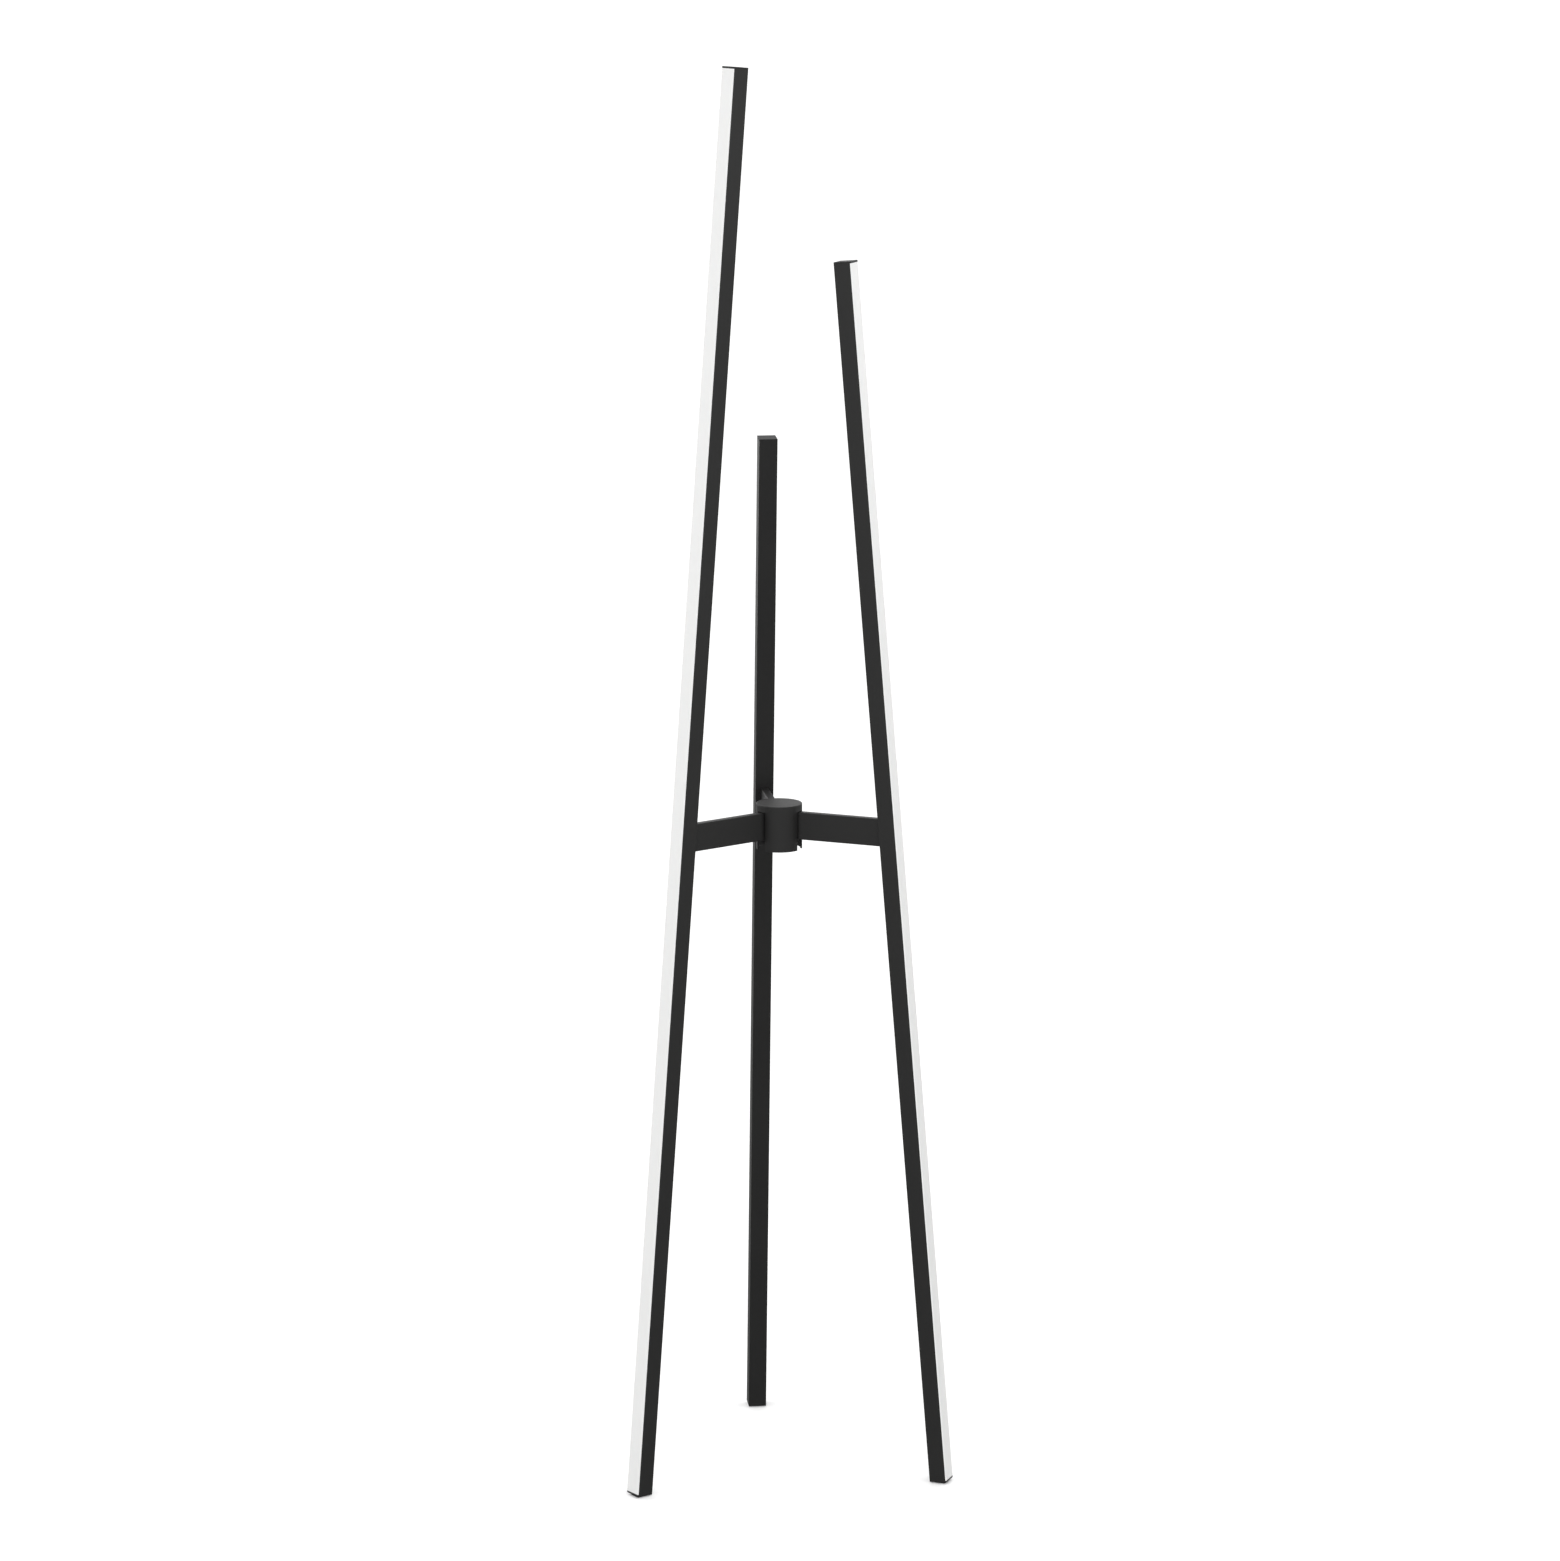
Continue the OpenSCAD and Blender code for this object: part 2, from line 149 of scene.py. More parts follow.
class Leg:
    """One leg's own frame: x out through the diffuser, y across, z up along it.

    An arm's frame has its origin on the hub's axis, x level and outwards, y across, z up.
    """

    def __init__(self, name, azimuth):
        turn = radians(azimuth)
        level = np.array([0, 0, 1])
        self.name = name
        self.radial = np.array([cos(turn), sin(turn), 0])
        self.across = np.array([-sin(turn), cos(turn), 0])
        self.up = cos(LEAN) * level - sin(LEAN) * self.radial
        self.out = cos(LEAN) * self.radial + sin(LEAN) * level
        self.hub = np.array([*HUB, ARM_LEVEL])
        self.low = (box(f"base_cap_{name}")[0][2] - ARM_LEVEL + FACE * sin(LEAN)) / cos(LEAN)
        self.high = (box(f"top_cap_{name}")[1][2] - ARM_LEVEL - FACE * sin(LEAN)) / cos(LEAN)

    def place(self, points):
        """Moves points from the leg's frame into the lamp's: origin + x out + y across + z up."""
        axes = np.array([self.out, self.across, self.up])
        return self.hub + LEG_RADIUS * self.radial + points @ axes

    def place_arm(self, points):
        """Moves points from the arm's frame into the lamp's."""
        return self.hub + points @ np.array([self.radial, self.across, [0, 0, 1]])


LEGS = [Leg("long", 210), Leg("middle", 330), Leg("short", 90)]


# Surfaces

def rounded(corners):
    """A closed outline with round corners, from rows of x, y and the corner's radius.

    Each corner becomes an arc: centre + radius * (cos a, sin a), where a runs evenly from
    the normal of the side that enters to the normal of the side that leaves. A point just
    before and one just after the arc keep the flat sides flat in their shading.
    """
    corners = np.array(corners, float)
    point, radius = corners[:, :2], corners[:, 2:]
    enter = point - np.roll(point, 1, 0)
    enter /= np.linalg.norm(enter, axis=1, keepdims=True)
    leave = np.roll(enter, -1, 0)
    left = enter[:, ::-1] * [-1, 1]
    turn = np.arctan2((left * leave).sum(1), (enter * leave).sum(1))[:, None]
    outward = -np.sign(turn) * left
    centre = point - enter * radius * np.tan(abs(turn) / 2) - outward * radius
    angle = np.arctan2(outward[:, 1:], outward[:, :1]) + np.linspace(0, 1, EDGE_STEPS + 1) * turn
    arc = centre[:, None] + radius[..., None] * np.stack([np.cos(angle), np.sin(angle)], -1)
    before = arc[:, :1] - (enter * radius)[:, None] / 4
    after = arc[:, -1:] + (leave * radius)[:, None] / 4
    return np.concatenate([before, arc, after], 1).reshape(-1, 2)


def rectangle(low, high, half, radius):
    """Corners of a rectangle from low to high along x, and half each way along y."""
    return [[low, -half, radius], [high, -half, radius], [high, half, radius], [low, half, radius]]


def both_sides(half):
    """Corners of a symmetric section, from those of its -y side with y given as positive."""
    half = np.array(half, float)
    return np.concatenate([half * [1, -1, 1], half[::-1]])


def lifted(outline, z):
    """A flat outline at height z, as rows of x, y, z."""
    return np.column_stack([outline, np.full(len(outline), z)])


def circle(radius, count=32):
    """Points of a circle, as rows of radius * cos a and radius * sin a."""
    angle = np.arange(count) * 2 * pi / count
    return radius * np.stack([np.cos(angle), np.sin(angle)], -1)


def soft_end(edge):
    """A quarter round at the end of a block, as rows of inset and depth.

    The inset is edge * (1 - sin a) and the depth edge * (1 - cos a). A row before and one
    after keep the flat faces flat in their shading.
    """
    angle = np.linspace(0, pi / 2, EDGE_STEPS + 1)
    arc = 1 - np.stack([np.sin(angle), np.cos(angle)], -1)
    return edge * np.array([[1.25, 0], *arc, [0, 1.25]])


def loft(rings, joined=False):
    """Vertices and faces of the surface through rings of equally many points.

    Point (i, j) of the surface is point j of ring i, and each cell of that grid is a quad.
    A joined surface runs on from its last ring into its first. Otherwise each end is closed
    with one flat face.
    """
    rings = np.array(rings)
    index = np.arange(rings.shape[0] * rings.shape[1]).reshape(rings.shape[:2])
    lower = index if joined else index[:-1]
    upper = np.roll(index, -1, 0)[:len(lower)]
    cells = np.stack([lower, np.roll(lower, -1, 1), np.roll(upper, -1, 1), upper], -1)
    faces = cells.reshape(-1, 4).tolist()
    if not joined:
        faces += [index[0, ::-1].tolist(), index[-1].tolist()]
    return rings.reshape(-1, 3), faces


def drill(mesh, holes):
    """Cuts round holes through a mesh, each from one of its flat quads to another.

    A hole is the two quads' numbers and its rims, from the first quad to the second and
    anticlockwise as seen from outside the first. The wall runs through the rims as in a
    loft. Each quad becomes a fan: a step of the rim joins the corner that lies nearest to
    it in angle about the hole's centre, and where that corner changes, it joins both.
    """
    points, faces = mesh
    cut = {number for quads, _ in holes for number in quads}
    kept = [face for number, face in enumerate(faces) if number not in cut]
    for quads, rims in holes:
        index = len(points) + np.arange(rims.shape[0] * rims.shape[1]).reshape(rims.shape[:2])
        along = np.roll(index, -1, 1)
        wall = np.stack([index[:-1], along[:-1], along[1:], index[1:]], -1)
        kept += wall.reshape(-1, 4).tolist()
        first, last = (index[0], rims[0]), (index[-1, ::-1], rims[-1, ::-1])
        for number, (rim, spots) in zip(quads, (first, last)):
            corner = np.array(faces[number])
            spokes = points[corner] - spots.mean(0)
            spokes /= np.linalg.norm(spokes, axis=1, keepdims=True)
            near = ((spots - spots.mean(0)) @ spokes.T).argmax(1)
            following = np.roll(near, -1)
            fan = np.stack([corner[near], corner[following], np.roll(rim, -1), rim], -1)
            kept += fan[near != following].tolist()
            kept += fan[near == following][:, 1:].tolist()
        points = np.concatenate([points, rims.reshape(-1, 3)])
    return points, kept


def turned(outline, count=64):
    """A ring turned about the hub's axis from an outline of radius and height.

    Its points are (r cos a, r sin a, z) about the hub at the arms' level.
    """
    angle = -np.arange(count)[:, None] * 2 * pi / count
    r, z = outline.T
    rings = np.stack([HUB[0] + r * np.cos(angle), HUB[1] + r * np.sin(angle),
                      ARM_LEVEL + z + 0 * angle], -1)
    return loft(rings, joined=True)


def piece(name, mesh, material, replaces, body="stand"):
    """A smooth-shaded object that rides on a body and stands for a CAD node."""
    vertices, faces = mesh
    data = bpy.data.meshes.new(name)
    data.from_pydata(vertices, [], faces)
    data.shade_smooth()
    data.set_sharp_from_angle(angle=SHARP)
    data.materials.append(material)
    made = bpy.data.objects.new(name, data)
    bpy.context.scene.collection.objects.link(made)
    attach(made, body)
    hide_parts(replaces)
    return made


# Shaders

class Wire:
    """A number or colour on its way through a node tree. Operators on it add Math nodes."""

    def __init__(self, tree, socket):
        self.tree, self.socket = tree, socket

    def math(self, operation, *values):
        return self.tree.node("Math", {"operation": operation}, dict(enumerate(values)))

    def __add__(self, other):
        return self.math("ADD", self, other)

    def __sub__(self, other):
        return self.math("SUBTRACT", self, other)

    def __rsub__(self, other):
        return self.math("SUBTRACT", other, self)

    def __mul__(self, other):
        return self.math("MULTIPLY", self, other)

    def __lt__(self, other):
        return self.math("LESS_THAN", self, other)

    __radd__, __rmul__ = __add__, __mul__


class Tree:
    """A node tree that takes new nodes by their kind, settings and inputs."""

    def __init__(self, nodes):
        self.nodes = nodes

    def node(self, kind, settings=None, inputs=None, output=0):
        """Adds a node: first its settings, such as a ramp's stops, then its inputs."""
        made = self.nodes.nodes.new("ShaderNode" + kind)
        for key, value in (settings or {}).items():
            if key == "stops":
                set_stops(made.color_ramp.elements, value)
            else:
                setattr(made, key, value)
        for key, value in (inputs or {}).items():
            self.join(made.inputs[key], value)
        return Wire(self, made.outputs[output])

    def join(self, socket, value):
        """Links a socket to a Wire, or gives it a plain value."""
        if isinstance(value, Wire):
            self.nodes.links.new(value.socket, socket)
        else:
            socket.default_value = value


def set_stops(elements, stops):
    """Gives a ramp its stops, as pairs of position and grey."""
    while len(elements) < len(stops):
        elements.new(1)
    for element, (position, grey) in zip(elements, stops):
        element.position, element.color = position, (grey, grey, grey, 1)


class Finish(Tree):
    """A material: one Principled shader and what feeds it."""

    def __init__(self, name, **constants):
        self.material = bpy.data.materials.new(name)
        self.material.use_nodes = True
        super().__init__(self.material.node_tree)
        self.surface = self.nodes.nodes["Principled BSDF"]
        self.feed(**constants)

    def feed(self, **values):
        """Sets the shader's sockets: base_color=..., roughness=... and so on."""
        for key, value in values.items():
            title = key.replace("_", " ").title().replace("Ior", "IOR")
            self.join(self.surface.inputs[title], value)

    def where(self, stretch=(1, 1, 1)):
        """The object's own coordinates, scaled along each axis."""
        place = self.node("TexCoord", output="Object")
        return self.node("Mapping", inputs={"Vector": place, "Scale": stretch})

    def noise(self, scale, detail=2.0, stretch=(1, 1, 1)):
        """Noise from 0 to 1, whose grains are about 1 / scale metres across."""
        return self.node("TexNoise", inputs={
            "Vector": self.where(stretch), "Scale": scale, "Detail": detail})

    def blend(self, factor, low, high):
        """A colour that runs from low to high with factor."""
        return self.node("Mix", {"data_type": "RGBA"}, {
            "Factor": factor, 6: (*low, 1), 7: (*high, 1)}, output=2)

    def bump(self, height, distance, strength):
        """Lets a height dent the surface by up to a distance."""
        self.feed(normal=self.node("Bump", inputs={
            "Height": height, "Distance": distance, "Strength": strength}))


def powder_coat(name, dark, light, roughness):
    """Satin powder coat: fine pebbles on a wider ripple, with a slow drift in its sheen."""
    coat = Finish(name, specular_ior_level=0.42)
    pebbles = coat.noise(2600)
    ripple = coat.noise(300, 3.0)
    drift = coat.noise(14, 3.0)
    coat.feed(base_color=coat.blend(0.65 * drift + 0.35 * pebbles, dark, light),
              roughness=roughness - 0.055 + 0.06 * pebbles + 0.05 * drift)
    coat.bump(0.7 * pebbles + 0.6 * ripple, 0.06 * MM, 0.5)
    return coat.material


def opal(name):
    """Opal diffuser: milky and satin, with faint lines along the way it was extruded."""
    milk = Finish(name, subsurface_weight=0.25, subsurface_scale=1.5 * MM,
                  subsurface_radius=(1.0, 0.95, 0.85), specular_ior_level=0.35)
    cloud = milk.noise(9, 3.0)
    lines = milk.noise(900, 1.0, (1, 1, 0.02))
    milk.feed(base_color=milk.blend(cloud, (0.655, 0.657, 0.653), (0.68, 0.68, 0.674)),
              roughness=0.36 + 0.08 * cloud)
    milk.bump(lines, 0.02 * MM, 0.3)
    return milk.material


def rubber(name, dark, light):
    """Moulded rubber: matt, with a fine sandy skin."""
    skin = Finish(name, specular_ior_level=0.3)
    sand = skin.noise(1800, 3.0)
    skin.feed(base_color=skin.blend(sand, dark, light), roughness=0.72 + 0.14 * sand)
    skin.bump(sand, 0.08 * MM, 0.5)
    return skin.material


def bare_metal(name, dark, light, scale, roughness):
    """Bare metal with an even grain."""
    bare = Finish(name, metallic=1.0)
    grain = bare.noise(scale, 4.0)
    bare.feed(base_color=bare.blend(grain, dark, light), roughness=roughness - 0.1 + 0.2 * grain)
    bare.bump(grain, 0.05 * MM, 0.4)
    return bare.material


def solder_mask(name, mask, track, pitch):
    """Solder mask over copper tracks, which show as slightly raised, lighter bands."""
    board = Finish(name, coat_weight=0.3, coat_roughness=0.1)
    speck = board.noise(700, 3.0)
    edge = board.node("TexVoronoi", {"feature": "DISTANCE_TO_EDGE"}, {
        "Vector": board.where(), "Scale": 1 / pitch, "Randomness": 0.35})
    copper = edge < 0.12
    board.feed(base_color=board.blend(copper, mask, track), roughness=0.3 + 0.12 * speck)
    board.bump(0.6 * copper + 0.2 * speck, 0.05 * MM, 0.6)
    return board.material


def phosphor(name):
    """The yellow phosphor of an LED, speckled under a glossy fill."""
    fill = Finish(name, coat_weight=0.6, coat_roughness=0.08)
    speck = fill.noise(2200, 3.0)
    fill.feed(base_color=fill.blend(speck, (0.86, 0.66, 0.16), (0.97, 0.84, 0.42)),
              roughness=0.25 + 0.15 * speck)
    fill.bump(speck, 0.03 * MM, 0.4)
    return fill.material


BLACK = powder_coat("satin_black", (0.0066, 0.0065, 0.0063), (0.0106, 0.0104, 0.0101), 0.47)
CAP_BLACK = powder_coat("cap_black", (0.0066, 0.0065, 0.0063), (0.0098, 0.0096, 0.0094), 0.56)
OPAL = opal("opal_plastic")
FOOT_RUBBER = rubber("foot_rubber", (0.020, 0.020, 0.021), (0.034, 0.034, 0.035))
SOFT_RUBBER = rubber("soft_rubber", (0.014, 0.014, 0.014), (0.026, 0.026, 0.026))
CAD_FINISHES = {
    "led_strip": solder_mask("white_mask", (0.78, 0.78, 0.75), (0.88, 0.86, 0.78), 9 * MM),
    "junction_board": solder_mask("green_mask", (0.012, 0.10, 0.04), (0.03, 0.20, 0.08), 3 * MM),
    "leds": phosphor("led_phosphor"),
    "lead": rubber("pvc_jacket", (0.03, 0.03, 0.032), (0.045, 0.045, 0.048)),
    "arm_insert": bare_metal("drawn_aluminium", (0.50, 0.51, 0.53), (0.68, 0.69, 0.70), 900, 0.42),
    "hub_core": bare_metal("cast_aluminium", (0.42, 0.43, 0.44), (0.62, 0.63, 0.64), 420, 0.55),
    "leg_screws": bare_metal("zinc_steel", (0.42, 0.43, 0.45), (0.62, 0.63, 0.64), 500, 0.32),
    "grub_screws": bare_metal("black_steel", (0.10, 0.10, 0.11), (0.16, 0.16, 0.17), 500, 0.4),
    "board_screws": bare_metal("nickel_steel", (0.60, 0.60, 0.62), (0.75, 0.75, 0.76), 500, 0.28),
}


# The lamp's pieces

def snap_bead(wall, order):
    """Corners of the snap bead on a wall at y = wall, from the diffuser's side inwards."""
    steps = ((2, 0), (1, 1), (-1, 1), (-2, 0))
    return [[FRONT - RIB_DEPTH / 2 + along * BEAD, wall + out * BEAD, TINY_EDGE / 2]
            for along, out in steps][::order]


def make_channel(leg):
    """A U drawn out between the cap plates, drilled for its two screws and the lead.

    The lead's hole is level and the wall leans, so on a plane at x the hole is an ellipse
    about z = -x tan(lean), as high as its diameter / cos(lean).
    """
    half = LEG_WIDE / 2
    outline = rounded(both_sides([
        [BACK, half, EXTRUSION_EDGE], [FRONT, half, TINY_EDGE], [FRONT, BAY_HALF, TINY_EDGE],
        *snap_bead(BAY_HALF, 1), [BED, BAY_HALF, FINE_EDGE]]))
    spare = LEG_SCREW_OFFSET / 2
    stations = [leg.low + CAP_PLATE, -3 * spare, -spare, spare, 3 * spare, leg.high - CAP_PLATE]
    mesh = loft([lifted(outline, z) for z in stations])

    def hole(span, planes, radii, heights, stretch=1):
        """A hole in the back wall between two stations: its quads and rims, as drill wants.

        Rim i lies on plane i of x and is (y, z) = radius i * (sin a, cos a) + height i.
        """
        z, y = np.array([circle(radius) for radius in radii]).transpose(2, 0, 1)
        x = np.array(planes)[:, None] + 0 * z
        first = span * len(outline) - 1
        quads = first + len(outline), first + len(outline) // 2
        return quads, np.stack([x, y, np.array(heights)[:, None] + stretch * z], -1)

    cone = BED - LEG_SCREW_HEAD + LEG_SCREW
    holes = [hole(span, [BACK, cone, BED], [LEG_SCREW, LEG_SCREW, LEG_SCREW_HEAD], [z] * 3)
             for span, z in ((1, -LEG_SCREW_OFFSET), (3, LEG_SCREW_OFFSET))]
    holes.append(hole(2, [BACK, BED], [LEAD_HOLE] * 2, [-BACK * tan(LEAN), -BED * tan(LEAN)],
                      1 / cos(LEAN)))
    points, faces = drill(mesh, holes)
    piece(f"channel_{leg.name}_coated", (leg.place(points), faces), BLACK,
          f"channel_{leg.name}")


def make_diffuser(leg):
    """A flat face with a beaded rib inside each edge, drawn out between the cap plates."""
    half, rib = LEG_WIDE / 2, BAY_HALF - RIB_PLAY
    outline = rounded(both_sides([
        [FRONT, rib - RIB, FINE_EDGE], [RIB_END, rib - RIB, FINE_EDGE], [RIB_END, rib, TINY_EDGE],
        *snap_bead(rib, -1), [FRONT, rib, TINY_EDGE], [FRONT, half, TINY_EDGE],
        [FACE, half, EXTRUSION_EDGE]]))
    points, faces = loft([lifted(outline, z)
                          for z in (leg.low + CAP_PLATE, leg.high - CAP_PLATE)])
    piece(f"diffuser_{leg.name}_opal", (leg.place(points), faces), OPAL,
          f"diffuser_{leg.name}")


def make_cap(leg, kind, end, inward):
    """A plate with round edges and its plug, in one loft of rounded rectangles.

    Each ring is the plate's or the plug's rectangle, moved in by its station's inset. The
    stations run inwards from the outer end, and inward is 1 up the leg or -1 down it.
    """
    plate = (BACK, FACE, LEG_WIDE / 2)
    plug = (BED + PLUG_PLAY, RIB_END - PLUG_PLAY, BAY_HALF - PLUG_PLAY)
    tip = CAP_PLATE + PLUG_DEPTH
    stations = [(plate, inset, depth) for inset, depth in soft_end(CAP_EDGE)]
    stations += [(plate, inset, CAP_PLATE - depth) for inset, depth in soft_end(TINY_EDGE)[::-1]]
    stations += [(plug, 0, CAP_PLATE)]
    stations += [(plug, inset, tip - depth) for inset, depth in soft_end(FINE_EDGE)[::-1]]
    rings = [lifted(rounded(rectangle(low + inset, high - inset, half - inset,
                                      EXTRUSION_EDGE - inset)), end + inward * depth)
             for (low, high, half), inset, depth in stations]
    points, faces = loft(rings[::inward])
    piece(f"{kind}_cap_{leg.name}_coated", (leg.place(points), faces), CAP_BLACK,
          f"{kind}_cap_{leg.name}")


def make_pad(leg):
    """A rubber wedge, in which every line runs down the leg's own lean to the floor.

    The foot of a point p is p - up * p_z / up_z. The rings lie at shares of that drop, and
    the lowest is drawn in a little.
    """
    def ring(share, inset):
        outline = rounded(rectangle(BACK + PAD_INSET + inset, FACE - PAD_INSET - inset,
                                    LEG_WIDE / 2 - PAD_INSET - inset, PAD_CORNER - inset))
        top = leg.place(lifted(outline, leg.low))
        return top - share * top[:, 2:] / leg.up[2] * leg.up

    rings = [ring(1, CAP_EDGE), ring(0.8, CAP_EDGE / 6), ring(0.55, 0), ring(0, 0)]
    piece(f"foot_pad_{leg.name}_rubber", loft(rings), FOOT_RUBBER,
          f"foot_pad_{leg.name}")


def make_arm(leg):
    """A flat tube from the core to the leg's inner face, drilled from below for a grub screw.

    Its outline lies in y and z. The outer end follows the leaning face, where
    x = leg radius + (back - z sin(lean)) / cos(lean).
    """
    def ring(outline, x):
        return np.column_stack([np.broadcast_to(x, len(outline)), outline])

    def leg_face(outline):
        return LEG_RADIUS + (BACK - outline[:, 1] * sin(LEAN)) / cos(LEAN)

    half_t, half_h = ARM_THICK / 2, ARM_HIGH / 2
    outer = rounded(rectangle(-half_t, half_t, half_h, ARM_EDGE))
    inner = rounded(rectangle(ARM_WALL - half_t, half_t - ARM_WALL, half_h - ARM_WALL, FINE_EDGE))
    beside = 2 * GRUB_SCREW
    starts = [ARM_START, GRUB_RADIUS - beside, GRUB_RADIUS + beside]
    mesh = loft([ring(outer, x) for x in (*starts, leg_face(outer))]
                + [ring(inner, x) for x in (leg_face(inner), *starts[::-1])], joined=True)
    across, along = circle(GRUB_SCREW).T
    rims = np.stack([np.column_stack([GRUB_RADIUS + along, across, np.full(len(along), z)])
                     for z in (-half_h, ARM_WALL - half_h)])
    below = CORNER_POINTS - 1
    points, faces = drill(mesh, [((len(outer) + below, 5 * len(outer) + below), rims)])
    piece(f"arm_{leg.name}_coated", (leg.place_arm(points), faces), BLACK,
          f"arm_{leg.name}")


def make_gland():
    """A rubber ring with a flange above and below the core's floor."""
    floor = -ARM_HIGH / 2
    ceiling = floor + CORE_FLOOR
    soft = GLAND_FLANGE / 3
    outline = rounded([
        [GLAND_BORE, floor - GLAND_FLANGE, soft], [GLAND_REACH, floor - GLAND_FLANGE, soft],
        [GLAND_REACH, floor, FINE_EDGE], [GLAND_WAIST, floor, FINE_EDGE],
        [GLAND_WAIST, ceiling, FINE_EDGE], [GLAND_REACH, ceiling, FINE_EDGE],
        [GLAND_REACH, ceiling + GLAND_FLANGE, soft], [GLAND_BORE, ceiling + GLAND_FLANGE, soft]])
    piece("cord_gland_moulded", turned(outline), SOFT_RUBBER, "cord_gland")


def make_cover():
    """The hub's cup, turned about its axis and cut by a slot over each arm.

    A point is (r cos t, r sin t, z). The profile gives r and z, from the top's middle over
    the rim, down the outer wall, up the inner wall and over the centring ring. Columns of t
    stand closer in the slots, and a slot's sides are parallel: sin(t) = half its width / r.
    """
    r_out, r_in = COVER_RADIUS, COVER_RADIUS - COVER_WALL
    roof = COVER_TOP - COVER_WALL
    ring_in, ring_base = RING_RADIUS - COVER_WALL, roof - RING_DEPTH
    rim = [[r_out - inset, COVER_TOP - depth] for inset, depth in soft_end(COVER_EDGE)]
    levels = np.linspace(ARM_HIGH / 2 + SLOT_ABOVE_ARM, COVER_BASE, 4)
    above = [[r_out / 2, COVER_TOP], *rim]
    walls = [*[[r_out, z] for z in levels], *[[r_in, z] for z in levels[::-1]]]
    below = [[r_in, roof], [RING_RADIUS, roof], [RING_RADIUS, ring_base], [ring_in, ring_base],
             [ring_in, roof]]
    radius, height = np.array([*above, *walls, *below]).T[..., None]
    outer_top = len(above)                      # row of the slots' tops on the outer wall
    inner_top = outer_top + len(walls) - 1      # and on the inner wall

    slot_cells, wall_cells = 6, 26
    share = np.concatenate([np.linspace(-1, 1, slot_cells, endpoint=False),
                            np.linspace(1, 3, wall_cells, endpoint=False)])
    half_slot = np.arcsin(SLOT_WIDTH / 2 / radius.clip(r_in))
    third = 2 * pi / len(LEGS)
    turn = np.where(share <= 1, share * half_slot,
                    half_slot + (share - 1) * (third / 2 - half_slot))
    turn = np.concatenate([turn + third * k for k in range(len(LEGS))], 1) + pi / 2
    points = np.stack([HUB[0] + radius * np.cos(turn), HUB[1] + radius * np.sin(turn),
                       ARM_LEVEL + height + 0 * turn], -1)

    index = np.arange(turn.size).reshape(turn.shape)
    along = np.roll(index, -1, 1)
    in_slot = np.tile(np.arange(len(share)) < slot_cells, len(LEGS))
    cells = np.stack([index[:-1], index[1:], along[1:], along[:-1]], -1)
    is_open = np.zeros(cells.shape[:2], bool)
    is_open[outer_top:inner_top] = in_slot
    slot_tops = np.stack([index[outer_top], index[inner_top], along[inner_top],
                          along[outer_top]], -1)[in_slot]
    faces = [*cells[~is_open].tolist(), *slot_tops.tolist(),
             index[0].tolist(), index[-1, ::-1].tolist()]
    for column in np.flatnonzero(in_slot != np.roll(in_slot, 1)):
        down = index[outer_top:outer_top + len(levels), column]
        up = index[inner_top:inner_top - len(levels):-1, column]
        sides = np.stack([down[:-1], down[1:], up[1:], up[:-1]], -1)
        faces += sides[:, ::1 if in_slot[column] else -1].tolist()
    made = piece("hub_cover_coated", (points.reshape(-1, 3), faces), BLACK,
                 "hub_cover", body="cover")
    bevel = made.modifiers.new("soft_edges", "BEVEL")
    bevel.width, bevel.segments = SLOT_EDGE, 3
    bevel.limit_method, bevel.angle_limit = "ANGLE", radians(50)
    bevel.harden_normals = True


def finish_cad_nodes():
    """Gives the CAD nodes that stay their materials."""
    for name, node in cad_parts.items():
        kind = name
        for leg in LEGS:
            kind = kind.removesuffix("_" + leg.name)
        if kind in CAD_FINISHES:
            node.data.materials.clear()
            node.data.materials.append(CAD_FINISHES[kind])


# Floor, light and camera

def make_floor():
    """A pale disc: point (i, j) is radius i times (cos, sin) of angle j.

    It gives off a little light, which thins out the shadows at the feet.
    """
    radii = np.geomspace(FLOOR_RADIUS, 0.5, 12)
    points, faces = loft([lifted(circle(radius, 64), 0) for radius in radii])
    data = bpy.data.meshes.new("floor")
    data.from_pydata(points, [], faces[:-2] + faces[-1:])
    pale = Finish("pale_floor", specular_ior_level=0.0, roughness=0.9, emission_strength=0.12)
    pale.feed(base_color=pale.blend(pale.noise(1.5), (0.93, 0.93, 0.93), (0.94, 0.94, 0.94)))
    data.materials.append(pale.material)
    floor = bpy.data.objects.new("floor", data)
    floor.visible_glossy = False
    bpy.context.scene.collection.objects.link(floor)


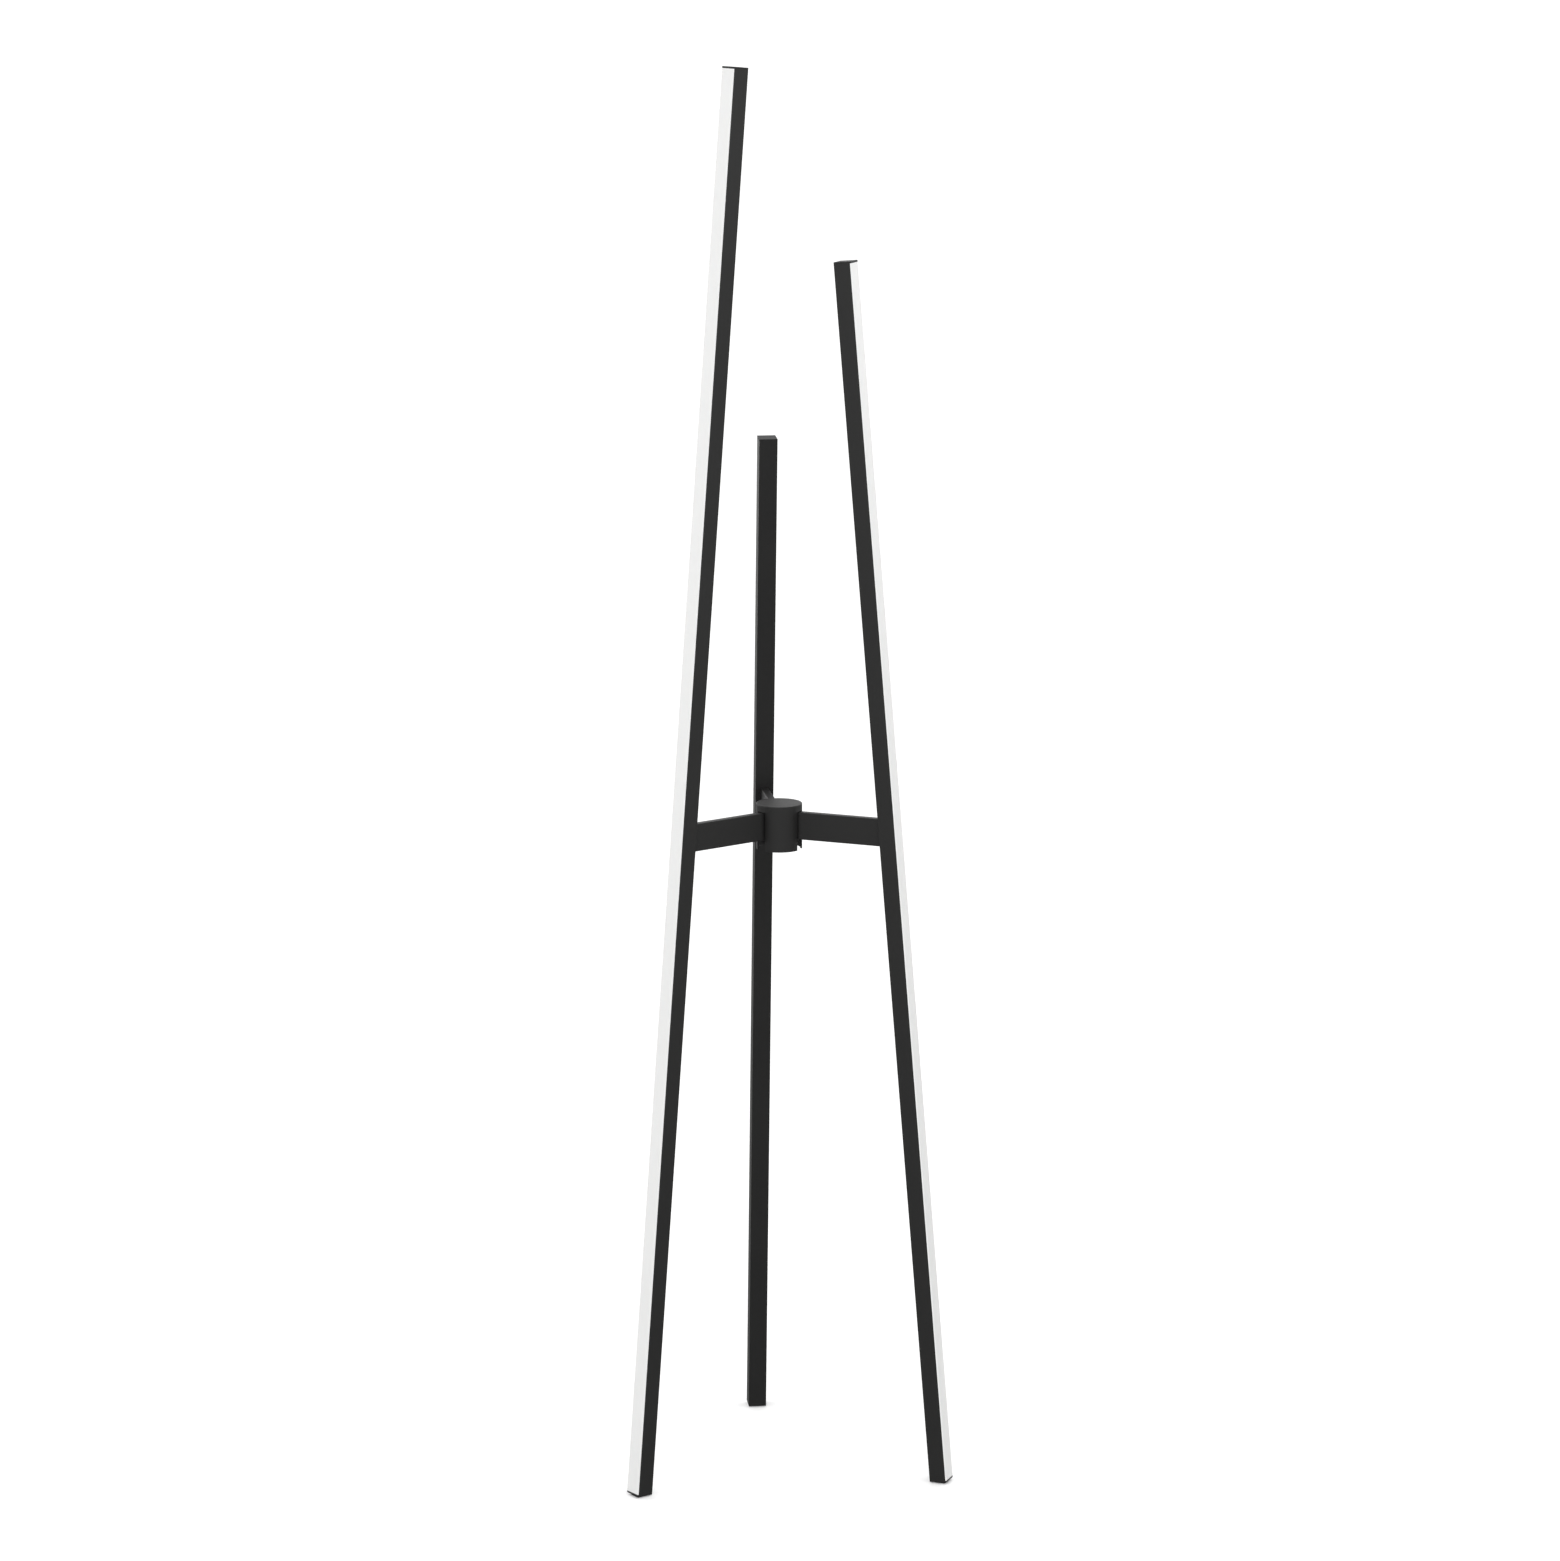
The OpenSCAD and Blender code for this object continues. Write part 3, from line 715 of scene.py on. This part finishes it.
def make_sky():
    """White light from all round, brightest at eye level and dark below it.

    The ramp runs over half of one plus the direction's height, from 0 straight down to 1
    straight up. Low behind the lamp there is a faint glow. The camera itself sees plain white.
    """
    world = bpy.data.worlds.new("studio")
    bpy.context.scene.world = world
    world.use_nodes = True
    background = world.node_tree.nodes["Background"]
    background.inputs["Color"].default_value = (1, 1, 1, 1)
    sky = Tree(world.node_tree)
    direction = sky.node("TexCoord", output="Generated")
    depth, height = (sky.node("SeparateXYZ", inputs={0: direction}, output=axis) for axis in (1, 2))
    ramp = sky.node("ValToRGB", {"stops": [
        (0.0, 0.08), (0.2, 0.08), (0.3, 0.0), (0.42, 0.0), (0.45, 0.4), (0.475, 1.0),
        (0.51, 1.0), (0.545, 0.8), (0.58, 0.18), (0.65, 0.18), (0.7, 0.6), (0.85, 0.54),
        (0.9, 0.46), (1.0, 0.46)]}, {"Fac": 0.5 + 0.5 * height})
    brightest, glow = 2.35, 0.5
    behind = (height < 0) * (1 - (depth < 0.9))
    seen = sky.node("LightPath", output="Is Camera Ray")
    sky.join(background.inputs["Strength"],
             seen + (1 - seen) * (brightest * ramp + glow * behind))


def make_softbox(name, at, target, side, watts):
    """A square area light at one point, facing another."""
    light = bpy.data.lights.new(name, "AREA")
    light.size, light.energy = side, watts
    lamp = bpy.data.objects.new(name, light)
    lamp.location = at
    lamp.rotation_euler = (Vector(target) - Vector(at)).to_track_quat("-Z", "Y").to_euler()
    bpy.context.scene.collection.objects.link(lamp)


def make_camera():
    """The camera stands round the hub's axis, looks towards it and is pitched down."""
    data = bpy.data.cameras.new("camera")
    data.lens, data.shift_x, data.clip_end = CAMERA_LENS, CAMERA_SHIFT, 100
    camera = bpy.data.objects.new("camera", data)
    turn = radians(CAMERA_TURN)
    camera.location = (HUB[0] - CAMERA_DISTANCE * sin(turn),
                       HUB[1] - CAMERA_DISTANCE * cos(turn), CAMERA_HEIGHT)
    camera.rotation_euler = Euler((radians(90 - CAMERA_PITCH), 0, -turn))
    bpy.context.scene.collection.objects.link(camera)
    bpy.context.scene.camera = camera


make_camera()
make_floor()
make_sky()
make_softbox("front", (-0.7, -4.0, 2.8), (0, 0, 0.8), SOFTBOX, SOFTBOX_POWER)
bpy.context.scene.view_settings.view_transform = "Standard"

for leg in LEGS:
    make_channel(leg)
    make_diffuser(leg)
    make_cap(leg, "top", leg.high, -1)
    make_cap(leg, "base", leg.low, 1)
    make_pad(leg)
    make_arm(leg)
make_gland()
make_cover()
finish_cad_nodes()
